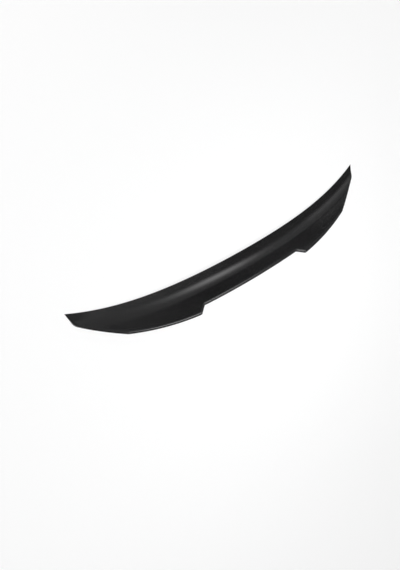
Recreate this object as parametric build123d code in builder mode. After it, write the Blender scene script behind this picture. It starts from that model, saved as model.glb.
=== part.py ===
from build123d import *
import os
from math import cos, radians, sin, sqrt, tan

# A stick-on rear spoiler for the boot lid of a saloon car, moulded as one open-bottomed shell.
# X runs across the car, +Y forward and +Z up, and X = 0 is the plane of symmetry.
# The origin is under the middle of the part, level with its lowest edge.

# Driving dimensions, in millimetres and degrees.
# Plan: the front edge sweeps back from the tips to the middle.
half_span = 600.0
front_sweep = 85.3
front_fullness = 0.5
tip_forward = 93.2

# The boot lid that the shell sits on is crowned across the car and falls to the rear.
lid_crown = 22.5
lid_slope = 4.5
tip_lift = 2.3

# Top section: a flat front strip, a hollow cove and a flat kick that rises to the lip.
front_edge = 1.2
strip_depth = 20.0
strip_slope = 12.5
cove_depth = 36.0
kick_slope = 41.0

# Trailing edge, drawn on a plane along the kick, as reach up the kick from the tips.
lip_reach = 171.4
lip_sweep = 5.6
step_x = 201.7
step_run = 26.9
step_rise = 22.0
step_inner_radius = 8.0
step_outer_radius = 7.5
wing_bow = 7.7
wing_corner_inset = 136.6
wing_corner_reach = 129.3
wing_corner_radius = 30.0
end_bow = 2.6
end_corner_inset = 12.1
end_corner_reach = 37.5
end_corner_radius = 25.0

# Rear face: a lip like a thick blade, which bends down into a leaning wall.
lip_thickness = 6.5
lip_edge_radius = 4.5
lip_land = 10.0
lip_bend_radius = 45.0
rear_lean = 22.0
rear_overhang = 40.0

# Open underside: the walls, the lands that are bonded to the boot lid, and the ribs.
wall = 3.0
solid_lip = 24.0
front_land = 15.0
flange_width = 12.0
flange_thickness = 3.0
rib_thickness = 2.5
rib_pitch = 110.0
rib_count = 10
rib_recess = 6.0

# Reach of the cutting tools past the part, and the stations that their sections stand on.
overrun = 30.0
tool_run = 110.0
tool_reach = 300.0
tool_floor = -60.0
lid_run = 900.0
station_count = 13

# Limits used to pick corners and faces.
same_place = 0.01
square_limit = 0.01
facing_limit = 0.5

station_pitch = 2 * (half_span + overrun) / (station_count - 1)
stations = [i * station_pitch - half_span - overrun for i in range(station_count)]
lid_radius = (half_span**2 + lid_crown**2) / (2 * lid_crown)
cove_radius = cove_depth / (sin(radians(kick_slope)) - sin(radians(strip_slope)))
step_outer_x = step_x + step_run
step_inner_reach = lip_reach - lip_sweep
step_outer_reach = step_inner_reach + step_rise
wing_corner_x = half_span - wing_corner_inset
end_corner_x = half_span - end_corner_inset


def facing(slope):
    """Upward normal, as (y, z), of a surface that rises to the rear at this slope."""
    return Vector(sin(radians(slope)), cos(radians(slope)))


def rising(slope):
    """Unit step to the rear, as (y, z), up a surface that rises at this slope."""
    return Vector(-cos(radians(slope)), sin(radians(slope)))


def front_y(x):
    share = (x / half_span) ** 2
    return tip_forward - front_sweep * (1 - share) * (1 + front_fullness * share)


def lid_z(x, y):
    crown_drop = lid_radius - sqrt(lid_radius**2 - x**2)
    return tip_lift + lid_crown - crown_drop - (tip_forward - y) * tan(radians(lid_slope))


def cove_centre(x):
    y = front_y(x)
    front = Vector(y, lid_z(x, y) + front_edge)
    start = front + rising(strip_slope) * (strip_depth / cos(radians(strip_slope)))
    return start + facing(strip_slope) * cove_radius


def kick_z(x, y):
    """Height of the kick's straight run, or of its line carried forward."""
    start = cove_centre(x) - facing(kick_slope) * cove_radius
    return start.Y + (start.X - y) * tan(radians(kick_slope))


def top_z(x, y):
    """Height of the cove or the kick, whichever is there."""
    centre = cove_centre(x)
    drop = max(cove_radius ** 2 - (y - centre.X) ** 2, 0)
    kick_start = centre.X - sin(radians(kick_slope)) * cove_radius
    return kick_z(x, y) if y < kick_start else centre.Y - sqrt(drop)


def trailing_depth(x, reach):
    """How far behind the tips a point of the trailing edge lies, seen from above."""
    lift = kick_z(x, tip_forward) - tip_lift
    return (reach - lift * sin(radians(kick_slope))) * cos(radians(kick_slope))


# The rear wall follows a smooth crescent through the two corners of each wing.
rear_half_span = half_span + rear_overhang
step_share = (step_outer_x / rear_half_span) ** 2
wing_share = (wing_corner_x / rear_half_span) ** 2
step_depth = trailing_depth(step_outer_x, step_outer_reach) / (1 - step_share)
wing_depth = trailing_depth(wing_corner_x, wing_corner_reach) / (1 - wing_share)
rear_fullness = (wing_depth - step_depth) / (wing_share - step_share)
rear_reach = step_depth - rear_fullness * step_share


def rear_y(x):
    share = (x / rear_half_span) ** 2
    return tip_forward - (1 - share) * (rear_reach + rear_fullness * share)


def under_top(inset):
    """All that lies under the top surface, which is sunk by inset."""
    radius = cove_radius + inset
    with BuildPart() as blank:
        for x in stations:
            centre = cove_centre(x)
            cove = [centre - facing(a) * radius
                    for a in (strip_slope, (strip_slope + kick_slope) / 2, kick_slope)]
            with BuildSketch(Plane.YZ.offset(x)):
                with BuildLine():
                    strip = Line(cove[0] - rising(strip_slope) * (strip_depth + overrun), cove[0])
                    ThreePointArc(*cove)
                    kick = Line(cove[2], cove[2] + rising(kick_slope) * tool_run)
                    Polyline(kick @ 1, ((kick @ 1).X, tool_floor), ((strip @ 0).X, tool_floor), strip @ 0)
                make_face()
        loft()
    return blank.part


def behind_rear(inset):
    """All that lies under the lip and behind the rear wall, grown into the wall by inset."""
    radius = lip_bend_radius + inset
    wall_slope = 90 - rear_lean
    with BuildPart() as undercut:
        for x in stations:
            edge = Vector(rear_y(x), top_z(x, rear_y(x))) - facing(kick_slope) * lip_thickness
            centre = edge - rising(kick_slope) * lip_land - facing(kick_slope) * lip_bend_radius
            bend = [centre + facing(a) * radius
                    for a in (kick_slope, (kick_slope + wall_slope) / 2, wall_slope)]
            with BuildSketch(Plane.YZ.offset(x)):
                with BuildLine():
                    lip = Line(bend[0] + rising(kick_slope) * tool_run, bend[0])
                    ThreePointArc(*bend)
                    rear = Line(bend[2], bend[2] - rising(wall_slope) * tool_run)
                    Polyline(rear @ 1, ((lip @ 0).X, (rear @ 1).Y), lip @ 0)
                make_face()
        loft()
    return undercut.part


def boot_lid(rise):
    """The crowned boot lid, lifted by rise."""
    fall = tool_reach * tan(radians(lid_slope))
    lid_plane = Plane(
        origin=(0, tip_forward + tool_reach, tip_lift + fall + rise),
        x_dir=(1, 0, 0),
        z_dir=(0, -cos(radians(lid_slope)), -sin(radians(lid_slope))),
    )
    reach = half_span + 2 * overrun
    edge_z = lid_crown - lid_radius + sqrt(lid_radius**2 - reach**2)
    with BuildPart() as lid:
        with BuildSketch(lid_plane):
            with BuildLine():
                crown = ThreePointArc((-reach, edge_z), (0, lid_crown), (reach, edge_z))
                Polyline(crown @ 1, (reach, -tool_reach), (-reach, -tool_reach), crown @ 0)
            make_face()
        extrude(amount=lid_run)
    return lid.part


def square_to_kick(face):
    return abs(face.normal_at().dot(kick_up)) < square_limit


# Outline of the front edge, seen from above.
with BuildSketch() as front_outline:
    with BuildLine():
        front = Spline(*[(x, front_y(x)) for x in stations])
        Polyline(front @ 1, (stations[-1], -tool_reach), (stations[0], -tool_reach), front @ 0)
    make_face()

# Outline of the trailing edge and the ends, square to the kick.
kick_plane = Plane(
    origin=(0, tip_forward, tip_lift),
    x_dir=(1, 0, 0),
    z_dir=(0, -sin(radians(kick_slope)), -cos(radians(kick_slope))),
)
kick_up = -kick_plane.z_dir
end_run = Vector(end_corner_inset, -end_corner_reach)
corner_radii = {
    step_x: step_inner_radius,
    step_outer_x: step_outer_radius,
    wing_corner_x: wing_corner_radius,
    end_corner_x: end_corner_radius,
}
with BuildSketch(kick_plane) as rear_outline:
    with BuildLine():
        lip = TangentArc((0, lip_reach), (step_x, step_inner_reach), tangent=(1, 0))
        step = Line(lip @ 1, (step_outer_x, step_outer_reach))
        wing = SagittaArc(step @ 1, (wing_corner_x, wing_corner_reach), wing_bow)
        outer = SagittaArc(wing @ 1, (end_corner_x, end_corner_reach), end_bow)
        end = Line(outer @ 1, outer @ 1 + end_run.normalized() * tool_run)
        Line(end @ 1, (0, (end @ 1).Y))
        mirror(about=Plane.YZ)
    make_face()
    for corner_x, radius in corner_radii.items():
        corners = vertices().filter_by(lambda corner: abs(abs(corner.X) - corner_x) < same_place)
        fillet(corners, radius=radius)

# Ribs that brace the top skin against the rear wall, clear of the boot lid.
with BuildPart() as ribs:
    with GridLocations(rib_pitch, 0, rib_count, 1):
        Box(rib_thickness, tool_reach, tool_reach)
    add(boot_lid(rib_recess), mode=Mode.SUBTRACT)

# Rear flange, along the foot of the rear wall.
with BuildPart() as flange:
    add(behind_rear(wall + flange_width))
    add(boot_lid(flange_thickness), mode=Mode.INTERSECT)

# Hollow of the shell, open to the boot lid between the front land and the rear flange.
with BuildPart() as hollow:
    inner_outline = offset(rear_outline.sketch, amount=-solid_lip, mode=Mode.PRIVATE)
    extrude(inner_outline, tool_reach, both=True)
    extrude(front_outline.sketch.moved(Pos(0, -front_land)), tool_reach, both=True, mode=Mode.INTERSECT)
    add(under_top(wall), mode=Mode.INTERSECT)
    add(behind_rear(wall), mode=Mode.SUBTRACT)
    add(flange.part, mode=Mode.SUBTRACT)
    add(ribs.part, mode=Mode.SUBTRACT)

# The shell itself.
with BuildPart() as spoiler_shell:
    add(under_top(0))
    extrude(front_outline.sketch, tool_reach, both=True, mode=Mode.INTERSECT)
    extrude(rear_outline.sketch, tool_reach, both=True, mode=Mode.INTERSECT)
    top_faces = faces().filter_by(lambda face: face.normal_at().Z > facing_limit)
    fillet(faces().filter_by(square_to_kick).edges() & top_faces.edges(), radius=lip_edge_radius)
    add(behind_rear(0), mode=Mode.SUBTRACT)
    add(boot_lid(0), mode=Mode.SUBTRACT)
    add(hollow.part, mode=Mode.SUBTRACT)

os.makedirs("parts", exist_ok=True)
spoiler_shell.part.label = "spoiler_shell"
export_step(spoiler_shell.part, "parts/spoiler_shell.step")
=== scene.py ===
from math import atan2, ceil, cos, hypot, pi, radians, sin, sqrt, tan

import bmesh
import bpy
from bpy.props import FloatProperty, FloatVectorProperty, IntProperty, PointerProperty
from mathutils import Matrix, Vector


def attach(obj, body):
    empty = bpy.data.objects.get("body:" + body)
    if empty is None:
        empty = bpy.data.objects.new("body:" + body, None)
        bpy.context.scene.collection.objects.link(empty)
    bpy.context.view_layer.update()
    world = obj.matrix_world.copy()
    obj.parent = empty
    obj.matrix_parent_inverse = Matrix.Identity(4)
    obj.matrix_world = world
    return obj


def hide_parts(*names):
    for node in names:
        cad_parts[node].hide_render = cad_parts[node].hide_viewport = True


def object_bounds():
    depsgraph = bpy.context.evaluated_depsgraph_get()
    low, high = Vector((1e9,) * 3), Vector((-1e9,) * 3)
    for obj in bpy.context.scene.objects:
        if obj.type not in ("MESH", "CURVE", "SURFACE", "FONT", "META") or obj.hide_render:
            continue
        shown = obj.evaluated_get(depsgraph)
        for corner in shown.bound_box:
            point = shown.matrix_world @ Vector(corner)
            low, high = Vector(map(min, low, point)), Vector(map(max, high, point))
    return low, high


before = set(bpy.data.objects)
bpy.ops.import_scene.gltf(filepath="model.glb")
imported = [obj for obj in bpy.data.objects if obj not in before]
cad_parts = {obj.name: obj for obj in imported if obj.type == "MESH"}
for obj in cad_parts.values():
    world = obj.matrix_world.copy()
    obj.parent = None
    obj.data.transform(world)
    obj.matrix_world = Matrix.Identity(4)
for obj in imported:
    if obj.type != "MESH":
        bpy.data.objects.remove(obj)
cad_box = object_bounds()

bl_info = {
    "name": "Boot Lid Spoiler",
    "version": (1, 0, 0),
    "blender": (4, 5, 0),
    "location": "View3D > Sidebar > Spoiler",
    "description": "Builds a gloss black boot lid spoiler and a plain studio to show it in",
    "category": "Add Mesh",
}

SHELL_NODE = "spoiler_shell"

# Image that the camera's focal length is given for, in pixels.
IMAGE_HEIGHT = 570

# Shares of the height of a thin edge that its rounded crest and its lower corner may take.
CREST_SHARE = 0.85
CORNER_SHARE = 0.15

# Divisions of the two smallest roundings, along the front edge and under the lip.
NOSE_STEPS = 3
UNDER_STEPS = 3

# Most of the top's depth that the rounded front edge may take.
NOSE_SHARE = 0.25

# Rows of the rear face that end at the foot of a tip.
TIP_FOOT_ROWS = 12

# How much finer short runs of the outline are divided, and the rear face before it is evened out.
SHORT_RUN_FINENESS = 2.0
REAR_FINENESS = 4

# Least share of the foot that the points of a filled hollow spread over.
FILLED_SHARE = 0.2

# Points nearer to a corner than its rounding, with this margin, are dropped.
TRIM_MARGIN = 1.05

# How far to each side of the kick plane a surface is looked for.
KICK_SEARCH = 0.2

# Places across the car that are nearer than this count as one.
SAME_PLACE = 1e-5

# Share of the welding distance under which a face counts as a sliver.
SLIVER_SHARE = 0.25

# Gap between the part and the floor.
FLOOR_GAP = 0.0005

# Part of a noise's range that its tones spread over.
NOISE_RANGE = (0.3, 0.7)

# Index of refraction of the plastic.
PLASTIC_IOR = 1.5

# Brightness of the sky, as (height, level), where height is 0 at the horizon and 1 overhead.
SKY_LEVELS = ((0.0, 0.9), (0.06, 0.75), (0.25, 0.3), (0.45, 0.06), (1.0, 0.1))


def length(name, description, default):
    return FloatProperty(name=name, description=description, default=default, unit="LENGTH", precision=4)


def slope(name, description, degrees):
    return FloatProperty(name=name, description=description, default=radians(degrees), subtype="ANGLE")


def color(name, description, default):
    return FloatVectorProperty(
        name=name, description=description, default=default, subtype="COLOR", size=3, min=0.0, max=1.0
    )


def place(name, description, default):
    return FloatVectorProperty(
        name=name, description=description, default=default, subtype="TRANSLATION", size=3, precision=4
    )


def patch(name, description, default):
    return FloatVectorProperty(name=name, description=description, default=default, size=2, precision=3)


def amount(name, description, default):
    return FloatProperty(name=name, description=description, default=default, precision=3)


def whole(name, description, default):
    return IntProperty(name=name, description=description, default=default, min=1)


def power(name, description, default):
    return FloatProperty(name=name, description=description, default=default, unit="POWER")


class SpoilerSizes(bpy.types.PropertyGroup):
    """Sizes of the spoiler: those of its solid, but with a fuller lip and rounder edges."""

    half_span: length("Half span", "Middle to tip, across the car", 0.600)
    front_sweep: length("Front sweep", "How far the front edge lies behind the tips in the middle", 0.0853)
    front_fullness: amount("Front fullness", "How full the front curve is", 0.5)
    tip_forward: length("Tip forward", "Tips ahead of the origin", 0.0932)
    lid_crown: length("Lid crown", "Rise of the boot lid from its edges to its middle", 0.0225)
    lid_slope: slope("Lid slope", "Fall of the boot lid to the rear", 4.5)
    tip_lift: length("Tip lift", "Height of the boot lid at the tips", 0.0023)
    front_edge: length("Front edge", "Thickness of the front edge", 0.0012)
    front_edge_radius: length("Front edge radius", "Rounding along the front edge", 0.0005)
    strip_depth: length("Strip depth", "Flat strip behind the front edge", 0.020)
    strip_slope: slope("Strip slope", "Rise of the front strip", 12.5)
    cove_depth: length("Cove depth", "Hollow behind the strip", 0.036)
    kick_slope: slope("Kick slope", "Rise of the kick up to the lip", 41.0)
    lip_reach: length("Lip reach", "Middle of the lip, measured up the kick", 0.1714)
    lip_sweep: length("Lip sweep", "How far the ends of the middle lip lie forward", 0.0056)
    step_x: length("Step place", "Inner corner of a step, from the middle", 0.2017)
    step_run: length("Step run", "Width of a step", 0.0269)
    step_rise: length("Step rise", "Height of a step, up the kick", 0.022)
    step_inner_radius: length("Step inner radius", "Rounding of a step's inner corner", 0.008)
    step_outer_radius: length("Step outer radius", "Rounding of a step's outer corner", 0.010)
    wing_bow: length("Wing bow", "Bulge of a wing's trailing edge", 0.0077)
    wing_corner_inset: length("Wing corner inset", "Wing corner, in from the tip", 0.1366)
    wing_corner_reach: length("Wing corner reach", "Wing corner, up the kick", 0.1293)
    wing_corner_radius: length("Wing corner radius", "Rounding of the wing corner", 0.030)
    end_bow: length("End bow", "Bulge between the wing corner and the end corner", 0.0026)
    end_corner_inset: length("End corner inset", "End corner, in from the tip", 0.0121)
    end_corner_reach: length("End corner reach", "End corner, up the kick", 0.0375)
    end_corner_radius: length("End corner radius", "Rounding of the end corner", 0.025)
    lip_thickness: length("Lip thickness", "Thickness of the lip at its edge", 0.0085)
    lip_edge_radius: length("Lip edge radius", "Rounding along the crest of the lip", 0.0070)
    lip_under_radius: length("Lip under radius", "Rounding along the lower edge of the lip", 0.0006)
    lip_land: length("Lip land", "Flat underside of the lip", 0.0139)
    lip_bend_radius: length("Lip bend radius", "Bend from the lip into the rear wall", 0.045)
    rear_lean: slope("Rear lean", "Lean of the rear wall", 22.0)
    rear_overhang: length("Rear overhang", "Run of the rear wall's curve past the tips", 0.040)
    wall: length("Wall", "Thickness of the skin", 0.003)
    solid_lip: length("Solid lip", "Depth of solid material along the trailing edge", 0.024)
    front_land: length("Front land", "Bonding land along the front edge", 0.015)
    flange_width: length("Flange width", "Bonding flange along the rear wall", 0.012)
    flange_thickness: length("Flange thickness", "Thickness of the rear flange", 0.003)
    rib_thickness: length("Rib thickness", "Thickness of a rib", 0.0025)
    rib_pitch: length("Rib pitch", "Distance between ribs", 0.110)
    rib_count: whole("Rib count", "Ribs under the skin", 10)
    rib_recess: length("Rib recess", "Gap between a rib and the boot lid", 0.006)


class SpoilerMesh(bpy.types.PropertyGroup):
    """How finely the spoiler is divided."""

    column_pitch: length("Column pitch", "Distance between sections across the car", 0.0036)
    corner_steps: whole("Corner steps", "Sections round each corner", 9)
    top_rows: whole("Top rows", "Divisions of the top", 92)
    crest_rows: whole("Crest rows", "Points round the crest", 9)
    under_rows: whole("Under rows", "Divisions of the rear face", 34)
    ceiling_rows: whole("Ceiling rows", "Divisions of the hollow", 22)
    wall_rows: whole("Wall rows", "Divisions of the inner wall", 8)
    weld: length("Weld", "Points nearer than this become one", 0.00012)
    sharp_angle: slope("Sharp angle", "Folds sharper than this stay crisp", 38.0)


class SpoilerFinish(bpy.types.PropertyGroup):
    """Colours and textures of the moulding."""

    gloss_dark: color("Gloss dark", "Deepest black of the polished faces", (0.0052, 0.0052, 0.0054))
    gloss_light: color("Gloss light", "Palest black of the polished faces", (0.0078, 0.0078, 0.008))
    gloss_smooth: amount("Smoothest gloss", "Least roughness of the polished faces", 0.06)
    gloss_rough: amount("Roughest gloss", "Most roughness of the polished faces", 0.11)
    haze_size: length("Haze size", "Size of the clouds in the polished black", 0.12)
    smear_size: length("Smear size", "Size of the smears in the polish", 0.035)
    peel_size: length("Peel size", "Ripple of the polished faces", 0.006)
    peel_depth: length("Peel depth", "Depth of that ripple", 0.000004)
    satin_dark: color("Satin dark", "Deepest black of the underside", (0.012, 0.012, 0.0125))
    satin_light: color("Satin light", "Palest black of the underside", (0.022, 0.022, 0.023))
    satin_smooth: amount("Smoothest satin", "Least roughness of the underside", 0.38)
    satin_rough: amount("Roughest satin", "Most roughness of the underside", 0.52)
    flow_size: length("Flow size", "Size of the flow marks of the underside", 0.05)
    grain_size: length("Grain size", "Moulded grain of the underside", 0.0012)
    grain_depth: length("Grain depth", "Depth of that grain", 0.00006)


class SpoilerStudio(bpy.types.PropertyGroup):
    """Camera, floor and lights."""

    camera_place: place("Camera place", "Where the camera stands", (-0.92016, 0.60333, 1.4492))
    camera_azimuth: slope("Camera azimuth", "Way that the camera looks, from above", -130.15)
    camera_elevation: slope("Camera elevation", "How far the camera looks down", 55.679)
    camera_roll: slope("Camera roll", "Turn of the picture", 106.085)
    focal_pixels: amount("Focal length", "In pixels of the picture", 543.54)
    floor_color: color("Floor colour", "Pale floor", (0.87, 0.87, 0.87))
    floor_mottle: amount("Floor mottle", "Darkest tone of the floor, as a share of its colour", 0.985)
    mottle_size: length("Mottle size", "Size of the clouds in the floor", 0.8)
    floor_rough: amount("Floor roughness", "Roughness of the floor", 0.9)
    floor_white: amount("Floor white", "Share of plain white in the floor as seen", 0.8)
    floor_size: length("Floor size", "Side of the floor", 40.0)
    sky_color: color("Sky colour", "Tint of the surrounding light", (1.0, 1.0, 1.0))
    scrim_tilt: slope("Scrim tilt", "Lean of the large soft panel to the front", 30.0)
    scrim_distance: length("Scrim distance", "From the origin to the soft panel", 0.8)
    scrim_size: length("Scrim size", "Side of the soft panel", 3.0)
    scrim_glow: amount("Scrim glow", "Even light of the soft panel", 0.47)
    main_lamp: amount("Main lamp", "Bright patch behind the panel", 4.1)
    main_place: patch("Main lamp place", "Middle of that patch on the panel", (0.283, -0.185))
    main_spread: patch("Main lamp spread", "Spread of that patch", (0.168, 0.106))
    main_turn: slope("Main lamp turn", "Turn of that patch on the panel", 24.0)
    side_lamp: amount("Side lamp", "Weaker patch at one side", 0.65)
    side_place: patch("Side lamp place", "Middle of that patch on the panel", (1.01, -0.13))
    side_spread: patch("Side lamp spread", "Spread of that patch", (0.1, 0.13))
    rear_lamp: amount("Rear lamp", "Long patch that lights the crest", 24.0)
    rear_place: patch("Rear lamp place", "Middle of that patch on the panel", (0.09, -0.65))
    rear_spread: patch("Rear lamp spread", "Spread of that patch", (0.34, 0.06))
    end_across: patch("Left end", "Where the panel's left end begins and is full", (-0.17, -0.24))
    end_change: amount("Left end change", "Change of the light there", 0.28)
    corner_across: patch("Corner across", "Where its rear left corner begins and is full", (-0.27, -0.295))
    corner_ahead: patch("Corner ahead", "The same, to the rear", (-0.2, -0.26))
    corner_change: amount("Corner change", "Change of the light there", -0.5)
    back_across: patch("Back across", "Where its dimmer back begins and is full", (-0.2, 0.1))
    back_ahead: patch("Back ahead", "The same, to the rear", (-0.01, -0.39))
    back_change: amount("Back change", "Change of the light there", -0.7)
    front_across: patch("Front across", "Where its darker front begins and is full", (-0.12, 0.23))
    front_ahead: patch("Front ahead", "The same, to the front", (0.25, 0.27))
    front_slant: patch("Front slant", "The same, at the slanting right end", (1.26, 1.22))
    front_change: amount("Front change", "Change of the light there", -0.75)
    key_place: place("Key place", "Softbox beside the camera", (-3.3, 2.3, 5.3))
    key_size: length("Key size", "Side of that softbox", 3.0)
    key_power: power("Key power", "Power of that softbox", 222.0)


def facing(angle):
    """Upward normal, as (y, z), of a surface that rises to the rear at this angle."""
    return Vector((sin(angle), cos(angle)))


def rising(angle):
    """Unit step to the rear, as (y, z), up a surface that rises at this angle."""
    return Vector((-cos(angle), sin(angle)))


def root(function, low, high, steps=44):
    """Where a rising function of one value passes zero."""
    for _ in range(steps):
        middle = (low + high) / 2
        if function(middle) > 0:
            high = middle
        else:
            low = middle
    return (low + high) / 2


def resample(points, count):
    """The same line with evenly spaced points."""
    runs = [0.0]
    for before, after in zip(points, points[1:]):
        runs.append(runs[-1] + (after - before).length)
    total = runs[-1]
    spread = []
    at = 0
    for i in range(count):
        run = total * i / (count - 1)
        while at < len(points) - 2 and runs[at + 1] < run:
            at += 1
        gap = runs[at + 1] - runs[at]
        share = (run - runs[at]) / gap if gap > 0 else 0.0
        spread.append(points[at].lerp(points[at + 1], min(share, 1.0)))
    return spread


class SpoilerForm:
    """Curves and heights that the spoiler's sizes give."""

    def __init__(self, sizes):
        self.sizes = sizes
        self.lid_radius = (sizes.half_span**2 + sizes.lid_crown**2) / (2 * sizes.lid_crown)
        self.cove_radius = sizes.cove_depth / (sin(sizes.kick_slope) - sin(sizes.strip_slope))
        self.along = Vector((0, -cos(sizes.kick_slope), sin(sizes.kick_slope)))
        self.above = Vector((0, sin(sizes.kick_slope), cos(sizes.kick_slope)))
        self.origin = Vector((0, sizes.tip_forward, sizes.tip_lift))
        self.step_outer_x = sizes.step_x + sizes.step_run
        self.step_inner_reach = sizes.lip_reach - sizes.lip_sweep
        self.step_outer_reach = self.step_inner_reach + sizes.step_rise
        self.wing_corner_x = sizes.half_span - sizes.wing_corner_inset
        self.end_corner_x = sizes.half_span - sizes.end_corner_inset
        self.rear_half_span = sizes.half_span + sizes.rear_overhang
        step_share = (self.step_outer_x / self.rear_half_span) ** 2
        wing_share = (self.wing_corner_x / self.rear_half_span) ** 2
        step_depth = self.trailing_depth(self.step_outer_x, self.step_outer_reach) / (1 - step_share)
        wing_depth = self.trailing_depth(self.wing_corner_x, sizes.wing_corner_reach) / (1 - wing_share)
        self.rear_fullness = (wing_depth - step_depth) / (wing_share - step_share)
        self.rear_reach = step_depth - self.rear_fullness * step_share

    def front_y(self, x):
        sizes = self.sizes
        share = (x / sizes.half_span) ** 2
        return sizes.tip_forward - sizes.front_sweep * (1 - share) * (1 + sizes.front_fullness * share)

    def lid_z(self, x, y):
        sizes = self.sizes
        crown_drop = self.lid_radius - sqrt(self.lid_radius**2 - x**2)
        fall = (sizes.tip_forward - y) * tan(sizes.lid_slope)
        return sizes.tip_lift + sizes.lid_crown - crown_drop - fall

    def rear_y(self, x):
        share = (x / self.rear_half_span) ** 2
        return self.sizes.tip_forward - (1 - share) * (self.rear_reach + self.rear_fullness * share)

    def cove_centre(self, x):
        sizes = self.sizes
        y = self.front_y(x)
        front = Vector((y, self.lid_z(x, y) + sizes.front_edge))
        start = front + rising(sizes.strip_slope) * (sizes.strip_depth / cos(sizes.strip_slope))
        return start + facing(sizes.strip_slope) * self.cove_radius

    def trailing_depth(self, x, reach):
        """How far behind the tips a point of the trailing edge lies, seen from above."""
        sizes = self.sizes
        start = self.cove_centre(x) - facing(sizes.kick_slope) * self.cove_radius
        lift = start.y + (start.x - sizes.tip_forward) * tan(sizes.kick_slope) - sizes.tip_lift
        return (reach - lift * sin(sizes.kick_slope)) * cos(sizes.kick_slope)

    def on_kick(self, x, reach, height):
        """Point at this reach up the kick plane and this height square to it."""
        return self.origin + Vector((x, 0, 0)) + self.along * reach + self.above * height


class Section:
    """Cut through the spoiler at one place across the car."""

    def __init__(self, form, x):
        sizes = form.sizes
        self.form = form
        self.x = x
        self.front = form.front_y(x)
        self.lid_base = form.lid_z(x, 0.0)
        self.centre = form.cove_centre(x)
        self.radius = form.cove_radius
        edge_y = form.rear_y(x)
        up, back = facing(sizes.kick_slope), rising(sizes.kick_slope)
        edge = Vector((edge_y, self.top(edge_y))) - up * sizes.lip_thickness
        inward = back * sizes.lip_land + up * sizes.lip_bend_radius
        self.bend_centre = edge - inward

    def lid(self, y):
        return self.lid_base + y * tan(self.form.sizes.lid_slope)

    def top(self, y, inset=0.0):
        """Height of the top surface, sunk by inset."""
        sizes = self.form.sizes
        radius = self.radius + inset
        cove_start = self.centre - facing(sizes.strip_slope) * radius
        kick_start = self.centre - facing(sizes.kick_slope) * radius
        if y > cove_start.x:
            return cove_start.y - (y - cove_start.x) * tan(sizes.strip_slope)
        if y < kick_start.x:
            return kick_start.y + (kick_start.x - y) * tan(sizes.kick_slope)
        return self.centre.y - sqrt(radius**2 - (y - self.centre.x) ** 2)

    def under(self, y, inset=0.0):
        """Height of the rear face, which is sunk into the wall by inset."""
        sizes = self.form.sizes
        radius = sizes.lip_bend_radius + inset
        wall_slope = pi / 2 - sizes.rear_lean
        bend_start = self.bend_centre + facing(sizes.kick_slope) * radius
        bend_end = self.bend_centre + facing(wall_slope) * radius
        if y < bend_start.x:
            return bend_start.y + (bend_start.x - y) * tan(sizes.kick_slope)
        if y > bend_end.x:
            return bend_end.y - (y - bend_end.x) * tan(wall_slope)
        return self.bend_centre.y + sqrt(radius**2 - (y - self.bend_centre.x) ** 2)

    def foot(self, inset=0.0, rise=0.0):
        """Where the rear face, sunk by inset, meets the boot lid lifted by rise."""
        low = self.form.rear_y(self.x) - self.form.sizes.lip_land
        return root(lambda y: self.lid(y) + rise - self.under(y, inset), low, self.front)

    def height(self, reach, surface):
        """Height over the kick plane at which a line square to it meets a surface."""
        form = self.form

        def gap(height):
            point = form.on_kick(self.x, reach, height)
            return point.z - surface(point.y)

        return root(gap, -KICK_SEARCH, KICK_SEARCH)


def bowed(start, end, bow, count):
    """Points on an arc from start to end that bulges outwards by bow."""
    chord = end - start
    outward = Vector((-chord.y, chord.x)).normalized()
    if bow == 0:
        return [start.lerp(end, i / count) for i in range(count + 1)]
    radius = (chord.length**2 / 4 + bow**2) / (2 * bow)
    centre = start.lerp(end, 0.5) - outward * (radius - bow)
    half = atan2(chord.length / 2, radius - bow)
    ahead = chord.normalized()
    points = []
    for i in range(count + 1):
        angle = half * (2 * i / count - 1)
        points.append(centre + (outward * cos(angle) + ahead * sin(angle)) * radius)
    return points


def rounded(before, after, radius, steps):
    """Two lines of points that meet at a corner, joined by an arc."""
    corner = before[-1]
    into = (corner - before[-2]).normalized()
    away = (after[1] - corner).normalized()
    turn = atan2(into.x * away.y - into.y * away.x, into.dot(away))
    trim = radius * tan(abs(turn) / 2)
    side = Vector((-into.y, into.x)) * (1 if turn > 0 else -1)
    start = corner - into * trim
    centre = start + side * radius
    arc = []
    for i in range(steps + 1):
        angle = turn * i / steps
        across = cos(angle) * -side.x + sin(angle) * side.y
        along = cos(angle) * -side.y - sin(angle) * side.x
        arc.append(centre + Vector((across, along)) * radius)
    kept_before = [p for p in before if (p - corner).length > trim * TRIM_MARGIN]
    kept_after = [p for p in after if (p - corner).length > trim * TRIM_MARGIN]
    return kept_before + arc + kept_after


def trailing_outline(form, mesh_settings):
    """Half of the trailing edge and one end, from the middle to the tip, on the kick plane."""
    sizes = form.sizes
    middle = Vector((0, sizes.lip_reach))
    inner = Vector((sizes.step_x, form.step_inner_reach))
    outer = Vector((form.step_outer_x, form.step_outer_reach))
    wing = Vector((form.wing_corner_x, sizes.wing_corner_reach))
    end = Vector((form.end_corner_x, sizes.end_corner_reach))
    tip = Vector((sizes.half_span, 0))
    pitch = mesh_settings.column_pitch
    steps = mesh_settings.corner_steps

    def line(start, stop, bow=0.0, finer=1.0):
        return bowed(start, stop, bow, ceil((stop - start).length / pitch * finer))

    whole_lip = line(Vector((-inner.x, inner.y)), inner, sizes.lip_sweep)
    step = line(inner, outer, finer=SHORT_RUN_FINENESS)
    last_run = line(end, tip, finer=SHORT_RUN_FINENESS)
    outline = [middle] + [p for p in whole_lip if p.x > pitch / 2]
    outline = rounded(outline, step, sizes.step_inner_radius, steps)
    outline = rounded(outline, line(outer, wing, sizes.wing_bow), sizes.step_outer_radius, steps)
    outline = rounded(outline, line(wing, end, sizes.end_bow), sizes.wing_corner_radius, steps)
    return rounded(outline, last_run, sizes.end_corner_radius, steps)


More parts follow.
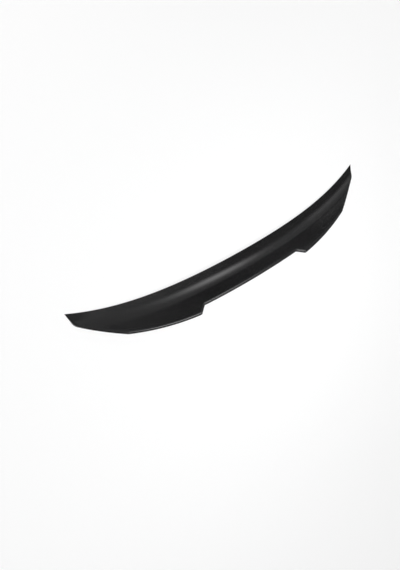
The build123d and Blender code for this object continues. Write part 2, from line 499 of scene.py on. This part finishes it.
class TrailingEdge:
    """Trailing edge and ends on the kick plane, from the middle to one tip."""

    def __init__(self, form, mesh_settings):
        self.form = form
        self.points = trailing_outline(form, mesh_settings)

    def places(self):
        """Points of the whole edge but for the two tips, each with its outward direction."""
        outline = self.with_ribs()
        half = [(outline[0], Vector((0, 1)))]
        for before, here, after in zip(outline, outline[1:], outline[2:]):
            ahead = (after - before).normalized()
            half.append((here, Vector((-ahead.y, ahead.x))))
        other = [(Vector((-p.x, p.y)), Vector((-n.x, n.y))) for p, n in reversed(half[1:])]
        return other + half

    def with_ribs(self):
        """The edge with more points, one at each face of a rib."""
        sizes = self.form.sizes
        outline = list(self.points)
        for i in range(sizes.rib_count):
            rib_x = (i - (sizes.rib_count - 1) / 2) * sizes.rib_pitch
            for x in (rib_x - sizes.rib_thickness / 2, rib_x + sizes.rib_thickness / 2):
                at = next((k for k in range(len(outline) - 1) if outline[k].x < x < outline[k + 1].x), None)
                if at is not None:
                    share = (x - outline[at].x) / (outline[at + 1].x - outline[at].x)
                    outline.insert(at + 1, outline[at].lerp(outline[at + 1], share))
        return outline

    def inner_reach(self, x):
        """How far up the kick the hollow goes, which leaves the lip solid."""
        depth = self.form.sizes.solid_lip
        near = [p for p in self.points if abs(p.x - abs(x)) < depth]
        return min(p.y - sqrt(depth**2 - (p.x - abs(x)) ** 2) for p in near)


class Column:
    """One closed ring of points round the section at one place of the trailing edge."""

    def __init__(self, trailing_edge, mesh_settings, point, outward):
        self.form = trailing_edge.form
        self.settings = mesh_settings
        self.point = point
        self.outward = outward
        self.edge = self.edge_points()
        self.section = Section(self.form, self.edge[0].x)
        self.inner_reach = trailing_edge.inner_reach(self.section.x)

    def edge_points(self):
        """Rounded crest, edge and lower corner of the lip, square to the trailing edge."""
        form = self.form
        sizes = form.sizes
        point, outward = self.point, self.outward
        inner = point - outward * sizes.lip_edge_radius
        heights = []
        for spot in (point, inner):
            section = Section(form, spot.x)
            top = section.height(spot.y, section.top)
            under = section.height(spot.y, section.under)
            lid = section.height(spot.y, section.lid)
            heights.append((top, under, lid))
        (top, under, lid), (top_in, under_in, lid_in) = heights
        bottom = max(under, lid)
        bottom_in = max(under_in, lid_in)
        top_lean = (top_in - top) / sizes.lip_edge_radius
        bottom_lean = (bottom_in - bottom) / sizes.lip_edge_radius
        crest = min(sizes.lip_edge_radius, CREST_SHARE * (top - bottom))
        corner = min(sizes.lip_under_radius, CORNER_SHARE * (top - bottom))
        points = []

        def put(inset, height):
            spot = point - outward * inset
            points.append(form.on_kick(spot.x, spot.y, height))

        rows = self.settings.crest_rows
        crest_height = top + top_lean * crest - crest * hypot(1, top_lean)
        first = atan2(1, -top_lean)
        for i in range(rows):
            angle = first + (pi - first) * i / (rows - 1)
            put(crest + crest * cos(angle), crest_height + crest * sin(angle))
        corner_height = bottom + bottom_lean * corner + corner * hypot(1, bottom_lean)
        put(0.0, (crest_height + corner_height) / 2)
        last = 2 * pi + atan2(-1, bottom_lean)
        for i in range(UNDER_STEPS + 1):
            angle = pi + (last - pi) * i / UNDER_STEPS
            put(corner + corner * cos(angle), corner_height + corner * sin(angle))
        return points

    def top_points(self):
        """Front edge, strip, cove and kick, from the foot of the front edge to the crest."""
        section = self.section
        sizes = self.form.sizes
        rows = self.settings.top_rows
        front, crest = section.front, self.edge[0].y
        nose = min(sizes.front_edge_radius, NOSE_SHARE * (front - crest))
        points = [(front, section.lid(front))]
        for i in range(NOSE_STEPS):
            angle = pi / 2 * i / NOSE_STEPS
            y = front - nose * (1 - cos(angle))
            points.append((y, section.top(front) - nose * (1 - sin(angle))))
        for i in range(rows):
            y = front - nose + (crest - front + nose) * i / rows
            points.append((y, section.top(y)))
        return [Vector((section.x, y, z)) for y, z in points]

    def rear_points(self):
        """Underside of the lip and the rear wall, down to the boot lid."""
        section = self.section
        start = self.edge[-1]
        foot = section.foot()
        rows = self.settings.under_rows
        if foot <= start.y:
            return [start] * rows
        fine = REAR_FINENESS * rows
        line = [start]
        for i in range(1, fine + 1):
            y = start.y + (foot - start.y) * i / fine
            line.append(Vector((section.x, y, max(section.under(y), section.lid(y)))))
        return resample(line, rows + 1)[1:]

    def cut_foot(self, rise):
        """Where the hollow's rear end, square to the kick, meets the boot lid lifted by rise."""
        section = self.section
        on_cut = self.form.on_kick(section.x, self.inner_reach, 0.0)
        steepness = 1 / tan(self.form.sizes.kick_slope)
        gap = on_cut.z - on_cut.y * steepness - section.lid_base - rise
        return -gap / (steepness - tan(self.form.sizes.lid_slope))

    def mouth(self):
        """Rear and front of the hollow's mouth on the boot lid."""
        sizes = self.form.sizes
        rear = max(self.section.foot(sizes.wall + sizes.flange_width), self.cut_foot(0.0))
        return rear, self.section.front - sizes.front_land

    def hollow_points(self, kind):
        """Flange, inner wall and ceiling of the hollow, or the places where they are filled."""
        section = self.section
        sizes = self.form.sizes
        rise = sizes.flange_thickness
        mouth_rear, mouth_front = self.mouth()
        cut_foot = self.cut_foot(rise)
        shelf = max(section.foot(sizes.wall + sizes.flange_width, rise), cut_foot)
        wall_foot = section.foot(sizes.wall, rise)
        ends_at_cut = wall_foot < cut_foot
        wall_foot = max(wall_foot, cut_foot)

        def ceiling(y):
            return section.top(y, sizes.wall)

        def inner(y):
            return section.under(y, sizes.wall)

        def flange_top(y):
            return section.lid(y) + rise

        def crossing(reach):
            return section.height(reach, inner) - section.height(reach, ceiling)

        reach = self.inner_reach
        if crossing(reach) > 0:
            reach = root(crossing, 0.0, reach)
        rear_low = self.form.on_kick(section.x, reach, section.height(reach, inner)).y
        rear_high = self.form.on_kick(section.x, reach, section.height(reach, ceiling)).y
        outline = [
            (mouth_rear, section.lid(mouth_rear)),
            (shelf, flange_top(shelf)),
            (wall_foot, flange_top(wall_foot)),
        ]
        rows = self.settings.wall_rows
        for i in range(1, rows + 1):
            if ends_at_cut:
                y = wall_foot + (rear_high - wall_foot) * i / (rows + 1)
                z = flange_top(wall_foot) + (ceiling(rear_high) - flange_top(wall_foot)) * i / (rows + 1)
            else:
                y = wall_foot + (min(rear_low, wall_foot) - wall_foot) * i / rows
                z = max(inner(y), flange_top(y))
            outline.append((y, z))
        rows = self.settings.ceiling_rows
        for i in range(rows + 1):
            y = rear_high + (mouth_front - rear_high) * i / rows
            outline.append((y, ceiling(y)))
        outline.append((mouth_front, section.lid(mouth_front)))
        if kind == "rib":
            outline = self.filled(outline)
        if kind == "solid":
            rear = max(section.foot(), self.edge[-1].y)
            half = max(mouth_front - mouth_rear, FILLED_SHARE * (section.front - rear)) / 2
            middle = min(max((mouth_rear + mouth_front) / 2, rear + half), section.front - half)
            last = len(outline) - 1
            spread = [middle + half * (2 * i / last - 1) for i in range(last + 1)]
            outline = [(y, section.lid(y)) for y in spread]
        return [Vector((section.x, y, z)) for y, z in outline]

    def filled(self, outline):
        """The hollow with its points above a rib's lower edge spread along that edge."""
        section = self.section
        sizes = self.form.sizes
        high = [i for i, (y, z) in enumerate(outline) if z > section.lid(y) + sizes.rib_recess]
        if not high:
            return outline
        rear = max(section.foot(sizes.wall, sizes.rib_recess), self.cut_foot(sizes.rib_recess))
        front = max(outline[high[-1]][0], rear)
        drawn = list(outline)
        for k, i in enumerate(high):
            y = rear + (front - rear) * k / max(len(high) - 1, 1)
            drawn[i] = (y, section.lid(y) + sizes.rib_recess)
        return drawn

    def is_open(self):
        """Whether the hollow has a mouth here."""
        rear, front = self.mouth()
        return front - rear > self.form.sizes.flange_thickness

    def ring(self, kind):
        return self.top_points() + self.edge + self.rear_points() + self.hollow_points(kind)

    def show_count(self):
        """Number of points, from the first, on faces that show."""
        return len(self.top_points()) + len(self.edge) + self.settings.under_rows


def rib_kind(form, x):
    """Whether a place across the car lies in a rib, on a face of one, or between two."""
    sizes = form.sizes
    position = x / sizes.rib_pitch + (sizes.rib_count - 1) / 2
    nearest = min(max(round(position), 0), sizes.rib_count - 1)
    off = abs(position - nearest) * sizes.rib_pitch - sizes.rib_thickness / 2
    if abs(off) < SAME_PLACE:
        return "face"
    return "rib" if off < 0 else "open"


def shell_rings(form, mesh_settings):
    """Rings of points from one tip to the other, and the number of their points that show."""
    trailing_edge = TrailingEdge(form, mesh_settings)
    rings = []
    show = 0
    for point, outward in trailing_edge.places():
        column = Column(trailing_edge, mesh_settings, point, outward)
        show = column.show_count()
        kind = rib_kind(form, point.x)
        if not column.is_open():
            rings.append(column.ring("solid"))
        elif kind == "face":
            enters = rib_kind(form, point.x + form.sizes.rib_thickness / 2) == "rib"
            for side in ("open", "rib") if enters else ("rib", "open"):
                rings.append(column.ring(side))
        else:
            rings.append(column.ring(kind))
    return rings, show


def tip_ring(form, side, ring_size, show):
    """Ring drawn together to the short upright edge of a tip."""
    sizes = form.sizes
    x = side * sizes.half_span
    low = Vector((x, sizes.tip_forward, form.lid_z(x, sizes.tip_forward)))
    high = low + Vector((0, 0, sizes.front_edge))
    return [low if i == 0 or i >= show - TIP_FOOT_ROWS else high for i in range(ring_size)]


def shell_mesh(form, mesh_settings):
    """Mesh of the whole moulding, with the polished faces in slot 0 and the underside in slot 1."""
    rings, show = shell_rings(form, mesh_settings)
    size = len(rings[0])
    rings = [tip_ring(form, -1, size, show)] + rings + [tip_ring(form, 1, size, show)]
    shell = bmesh.new()
    loops = [[shell.verts.new(point) for point in ring] for ring in rings]
    for loop, following in zip(loops, loops[1:]):
        for i in range(size):
            k = (i + 1) % size
            face = shell.faces.new((loop[i], following[i], following[k], loop[k]))
            face.material_index = 0 if i < show - 1 else 1
            face.smooth = True
    bmesh.ops.remove_doubles(shell, verts=shell.verts[:], dist=mesh_settings.weld)
    sliver = SLIVER_SHARE * mesh_settings.weld
    bmesh.ops.dissolve_degenerate(shell, edges=shell.edges[:], dist=sliver)
    bmesh.ops.recalc_face_normals(shell, faces=shell.faces[:])
    if not all(edge.is_manifold for edge in shell.edges):
        raise RuntimeError("The shell has edges that aren't shared by two faces")
    mesh = bpy.data.meshes.new("Spoiler_Moulding")
    shell.to_mesh(mesh)
    shell.free()
    mesh.set_sharp_from_angle(angle=mesh_settings.sharp_angle)
    return mesh


def new_material(name):
    """Material with its shader node and its node tree."""
    material = bpy.data.materials.new(name)
    material.use_nodes = True
    return material, material.node_tree, material.node_tree.nodes["Principled BSDF"]


def noise(tree, coordinates, size, detail):
    """Noise with features of this size, in metres."""
    node = tree.nodes.new("ShaderNodeTexNoise")
    node.inputs["Scale"].default_value = 1 / size
    node.inputs["Detail"].default_value = detail
    tree.links.new(coordinates, node.inputs["Vector"])
    return node.outputs["Fac"]


def ramp(tree, factor, low, high):
    """Colour between two tones."""
    node = tree.nodes.new("ShaderNodeValToRGB")
    for element, position, tone in zip(node.color_ramp.elements, NOISE_RANGE, (low, high)):
        element.position = position
        element.color = (*tone, 1)
    tree.links.new(factor, node.inputs["Fac"])
    return node.outputs["Color"]


def remap(tree, factor, low, high):
    """Value between two limits."""
    node = tree.nodes.new("ShaderNodeMapRange")
    node.inputs["From Min"].default_value, node.inputs["From Max"].default_value = NOISE_RANGE
    node.inputs["To Min"].default_value = low
    node.inputs["To Max"].default_value = high
    tree.links.new(factor, node.inputs["Value"])
    return node.outputs["Result"]


def relief(tree, height, depth):
    """Bump of this depth, in metres."""
    node = tree.nodes.new("ShaderNodeBump")
    node.inputs["Strength"].default_value = 1.0
    node.inputs["Distance"].default_value = depth
    tree.links.new(height, node.inputs["Height"])
    return node.outputs["Normal"]


def gloss_black(finish):
    """Polished black moulding, with a faint ripple and slight haze."""
    material, tree, shader = new_material("Gloss_Black")
    coordinates = tree.nodes.new("ShaderNodeTexCoord").outputs["Object"]
    haze = noise(tree, coordinates, finish.haze_size, detail=3.0)
    tree.links.new(ramp(tree, haze, finish.gloss_dark, finish.gloss_light), shader.inputs["Base Color"])
    smear = noise(tree, coordinates, finish.smear_size, detail=4.0)
    rough = remap(tree, smear, finish.gloss_smooth, finish.gloss_rough)
    tree.links.new(rough, shader.inputs["Roughness"])
    ripple = noise(tree, coordinates, finish.peel_size, detail=1.0)
    tree.links.new(relief(tree, ripple, finish.peel_depth), shader.inputs["Normal"])
    shader.inputs["IOR"].default_value = PLASTIC_IOR
    return material


def satin_black(finish):
    """As-moulded black underside, with a fine grain."""
    material, tree, shader = new_material("Satin_Black")
    coordinates = tree.nodes.new("ShaderNodeTexCoord").outputs["Object"]
    flow = noise(tree, coordinates, finish.flow_size, detail=4.0)
    tree.links.new(ramp(tree, flow, finish.satin_dark, finish.satin_light), shader.inputs["Base Color"])
    rough = remap(tree, flow, finish.satin_smooth, finish.satin_rough)
    tree.links.new(rough, shader.inputs["Roughness"])
    grain = noise(tree, coordinates, finish.grain_size, detail=2.0)
    tree.links.new(relief(tree, grain, finish.grain_depth), shader.inputs["Normal"])
    shader.inputs["IOR"].default_value = PLASTIC_IOR
    return material


def arithmetic(tree, operation, *values):
    """Math node on numbers or on the outputs of other nodes."""
    node = tree.nodes.new("ShaderNodeMath")
    node.operation = operation
    for socket, value in zip(node.inputs, values):
        if isinstance(value, (int, float)):
            socket.default_value = value
        else:
            tree.links.new(value, socket)
    return node.outputs["Value"]


def floor_material(studio):
    """Matt pale floor, which looks white to the camera and keeps its shadows."""
    material, tree, shader = new_material("Pale_Floor")
    coordinates = tree.nodes.new("ShaderNodeTexCoord").outputs["Object"]
    mottle = noise(tree, coordinates, studio.mottle_size, detail=2.0)
    darker = [studio.floor_mottle * c for c in studio.floor_color]
    tree.links.new(ramp(tree, mottle, darker, studio.floor_color), shader.inputs["Base Color"])
    shader.inputs["Roughness"].default_value = studio.floor_rough
    shader.inputs["Specular IOR Level"].default_value = 0.0
    white = tree.nodes.new("ShaderNodeEmission")
    path = tree.nodes.new("ShaderNodeLightPath").outputs
    seen = arithmetic(tree, "MAXIMUM", path["Is Camera Ray"], path["Is Glossy Ray"])
    seen = arithmetic(tree, "MAXIMUM", seen, path["Is Transmission Ray"])
    blend = tree.nodes.new("ShaderNodeMixShader")
    tree.links.new(arithmetic(tree, "MULTIPLY", seen, studio.floor_white), blend.inputs["Fac"])
    tree.links.new(shader.outputs["BSDF"], blend.inputs[1])
    tree.links.new(white.outputs["Emission"], blend.inputs[2])
    tree.links.new(blend.outputs["Shader"], tree.nodes["Material Output"].inputs["Surface"])
    return material


def lamp_patch(tree, coordinates, middle, spread, turn=0.0):
    """Oval glow that fades from its middle as a bell curve does."""
    node = tree.nodes.new("ShaderNodeMapping")
    node.vector_type = "TEXTURE"
    node.inputs["Location"].default_value = (*middle, 0)
    node.inputs["Rotation"].default_value = (0, 0, turn)
    node.inputs["Scale"].default_value = (*spread, 1)
    tree.links.new(coordinates, node.inputs["Vector"])
    far = tree.nodes.new("ShaderNodeVectorMath")
    far.operation = "LENGTH"
    tree.links.new(node.outputs["Vector"], far.inputs[0])
    squared = arithmetic(tree, "MULTIPLY", far.outputs["Value"], far.outputs["Value"])
    return arithmetic(tree, "EXPONENT", arithmetic(tree, "MULTIPLY", squared, -0.5))


def soft_step(tree, value, limits):
    """Smooth rise from 0 to 1 between two limits."""
    node = tree.nodes.new("ShaderNodeMapRange")
    node.interpolation_type = "SMOOTHSTEP"
    node.inputs["From Min"].default_value, node.inputs["From Max"].default_value = limits
    tree.links.new(value, node.inputs["Value"])
    return node.outputs["Result"]


def changed(tree, level, zones, change):
    """Light that changes by this share where all the zones meet."""
    inside = zones[0]
    for other in zones[1:]:
        inside = arithmetic(tree, "MULTIPLY", inside, other)
    return arithmetic(tree, "MULTIPLY", level, arithmetic(tree, "MULTIPLY_ADD", inside, change, 1.0))


def scrim_material(studio):
    """Soft panel with three lamps behind it and four zones of more or less light."""
    material = bpy.data.materials.new("Soft_Panel")
    material.use_nodes = True
    tree = material.node_tree
    tree.nodes.clear()
    output = tree.nodes.new("ShaderNodeOutputMaterial")
    glow = tree.nodes.new("ShaderNodeEmission")
    coordinates = tree.nodes.new("ShaderNodeTexCoord").outputs["Object"]
    split = tree.nodes.new("ShaderNodeSeparateXYZ")
    tree.links.new(coordinates, split.inputs["Vector"])
    across, ahead = split.outputs["X"], split.outputs["Y"]
    slant = arithmetic(tree, "ADD", across, ahead)

    main = lamp_patch(tree, coordinates, studio.main_place, studio.main_spread, studio.main_turn)
    side = lamp_patch(tree, coordinates, studio.side_place, studio.side_spread)
    rear = lamp_patch(tree, coordinates, studio.rear_place, studio.rear_spread)
    level = arithmetic(tree, "MULTIPLY_ADD", main, studio.main_lamp, studio.scrim_glow)
    level = arithmetic(tree, "MULTIPLY_ADD", side, studio.side_lamp, level)

    corner = [soft_step(tree, across, studio.corner_across), soft_step(tree, ahead, studio.corner_ahead)]
    level = changed(tree, level, corner, studio.corner_change)
    end = [soft_step(tree, across, studio.end_across)]
    level = changed(tree, level, end, studio.end_change)
    back = [soft_step(tree, across, studio.back_across), soft_step(tree, ahead, studio.back_ahead)]
    level = changed(tree, level, back, studio.back_change)
    front = [soft_step(tree, across, studio.front_across), soft_step(tree, ahead, studio.front_ahead)]
    front.append(soft_step(tree, slant, studio.front_slant))
    level = changed(tree, level, front, studio.front_change)

    level = arithmetic(tree, "MULTIPLY_ADD", rear, studio.rear_lamp, level)
    tree.links.new(level, glow.inputs["Strength"])
    tree.links.new(glow.outputs["Emission"], output.inputs["Surface"])
    return material


def flat_panel(name, side):
    """Square mesh panel of this side."""
    panel = bmesh.new()
    bmesh.ops.create_grid(panel, x_segments=1, y_segments=1, size=side / 2)
    mesh = bpy.data.meshes.new(name)
    panel.to_mesh(mesh)
    panel.free()
    made = bpy.data.objects.new(name, mesh)
    bpy.context.collection.objects.link(made)
    return made


def aim(made, target):
    """Turns a lamp or panel to face a point."""
    made.rotation_euler = (Vector(target) - made.location).to_track_quat("-Z", "Y").to_euler()


class SPOILER_OT_build_shell(bpy.types.Operator):
    """Build the moulded shell in place of its plain solid"""

    bl_idname = "spoiler.build_shell"
    bl_label = "Build Shell"
    bl_options = {"REGISTER", "UNDO"}

    def execute(self, context):
        scene = context.scene
        form = SpoilerForm(scene.spoiler_sizes)
        mesh = shell_mesh(form, scene.spoiler_mesh)
        mesh.materials.append(gloss_black(scene.spoiler_finish))
        mesh.materials.append(satin_black(scene.spoiler_finish))
        shell = bpy.data.objects.new("Spoiler_Moulding", mesh)
        context.collection.objects.link(shell)
        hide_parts(SHELL_NODE)
        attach(shell, "root")
        return {"FINISHED"}


class SPOILER_OT_build_studio(bpy.types.Operator):
    """Build the floor, the lights and the camera"""

    bl_idname = "spoiler.build_studio"
    bl_label = "Build Studio"
    bl_options = {"REGISTER", "UNDO"}

    def execute(self, context):
        studio = context.scene.spoiler_studio
        context.scene.view_settings.view_transform = "Standard"
        self.build_floor(studio)
        self.build_sky(context, studio)
        self.build_scrim(studio)
        self.build_key(context, studio)
        self.build_camera(context, studio)
        return {"FINISHED"}

    def build_floor(self, studio):
        floor = flat_panel("Floor", studio.floor_size)
        floor.location.z = cad_box[0].z - FLOOR_GAP
        floor.data.materials.append(floor_material(studio))

    def build_sky(self, context, studio):
        world = bpy.data.worlds.new("Studio_Sky")
        world.use_nodes = True
        context.scene.world = world
        tree = world.node_tree
        direction = tree.nodes.new("ShaderNodeTexCoord").outputs["Generated"]
        split = tree.nodes.new("ShaderNodeSeparateXYZ")
        tree.links.new(direction, split.inputs["Vector"])
        fade = tree.nodes.new("ShaderNodeValToRGB")
        elements = fade.color_ramp.elements
        while len(elements) < len(SKY_LEVELS):
            elements.new(0.5)
        for element, (height, level) in zip(elements, SKY_LEVELS):
            element.position = height
            element.color = (*[level * c for c in studio.sky_color], 1)
        tree.links.new(split.outputs["Z"], fade.inputs["Fac"])
        tree.links.new(fade.outputs["Color"], tree.nodes["Background"].inputs["Color"])

    def build_scrim(self, studio):
        scrim = flat_panel("Soft_Panel", studio.scrim_size)
        scrim.rotation_euler.x = -studio.scrim_tilt
        scrim.location = Vector((0, *facing(studio.scrim_tilt))) * studio.scrim_distance
        scrim.data.materials.append(scrim_material(studio))
        scrim.visible_camera = False
        scrim.visible_shadow = False

    def build_key(self, context, studio):
        key_data = bpy.data.lights.new("Key_Softbox", "AREA")
        key_data.size = studio.key_size
        key_data.energy = studio.key_power
        key = bpy.data.objects.new("Key_Softbox", key_data)
        key.location = studio.key_place
        aim(key, (0, 0, 0))
        context.collection.objects.link(key)

    def build_camera(self, context, studio):
        azimuth, elevation, roll = studio.camera_azimuth, studio.camera_elevation, studio.camera_roll
        back = Vector((sin(azimuth) * cos(elevation), -cos(azimuth) * cos(elevation), sin(elevation)))
        level = Vector((0, 0, 1)).cross(back).normalized()
        upright = back.cross(level)
        right = level * cos(roll) + upright * sin(roll)
        up = upright * cos(roll) - level * sin(roll)
        camera_data = bpy.data.cameras.new("Camera")
        camera_data.lens = studio.focal_pixels / IMAGE_HEIGHT * camera_data.sensor_width
        camera = bpy.data.objects.new("Camera", camera_data)
        turn = Matrix((right, up, back)).transposed().to_4x4()
        camera.matrix_world = Matrix.Translation(studio.camera_place) @ turn
        context.collection.objects.link(camera)
        context.scene.camera = camera


class SPOILER_PT_panel(bpy.types.Panel):
    """Sizes, finish and studio of the spoiler"""

    bl_idname = "SPOILER_PT_panel"
    bl_label = "Boot Lid Spoiler"
    bl_space_type = "VIEW_3D"
    bl_region_type = "UI"
    bl_category = "Spoiler"

    def draw(self, context):
        scene = context.scene
        for group in (scene.spoiler_sizes, scene.spoiler_mesh, scene.spoiler_finish, scene.spoiler_studio):
            box = self.layout.box()
            for name in group.__annotations__:
                box.prop(group, name)
        self.layout.operator(SPOILER_OT_build_shell.bl_idname)
        self.layout.operator(SPOILER_OT_build_studio.bl_idname)


CLASSES = (
    SpoilerSizes,
    SpoilerMesh,
    SpoilerFinish,
    SpoilerStudio,
    SPOILER_OT_build_shell,
    SPOILER_OT_build_studio,
    SPOILER_PT_panel,
)


def register():
    for entry in CLASSES:
        bpy.utils.register_class(entry)
    bpy.types.Scene.spoiler_sizes = PointerProperty(type=SpoilerSizes)
    bpy.types.Scene.spoiler_mesh = PointerProperty(type=SpoilerMesh)
    bpy.types.Scene.spoiler_finish = PointerProperty(type=SpoilerFinish)
    bpy.types.Scene.spoiler_studio = PointerProperty(type=SpoilerStudio)


def unregister():
    del bpy.types.Scene.spoiler_studio
    del bpy.types.Scene.spoiler_finish
    del bpy.types.Scene.spoiler_mesh
    del bpy.types.Scene.spoiler_sizes
    for entry in reversed(CLASSES):
        bpy.utils.unregister_class(entry)


def main():
    register()
    bpy.ops.spoiler.build_shell()
    bpy.ops.spoiler.build_studio()
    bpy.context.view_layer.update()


if __name__ == "__main__":
    main()
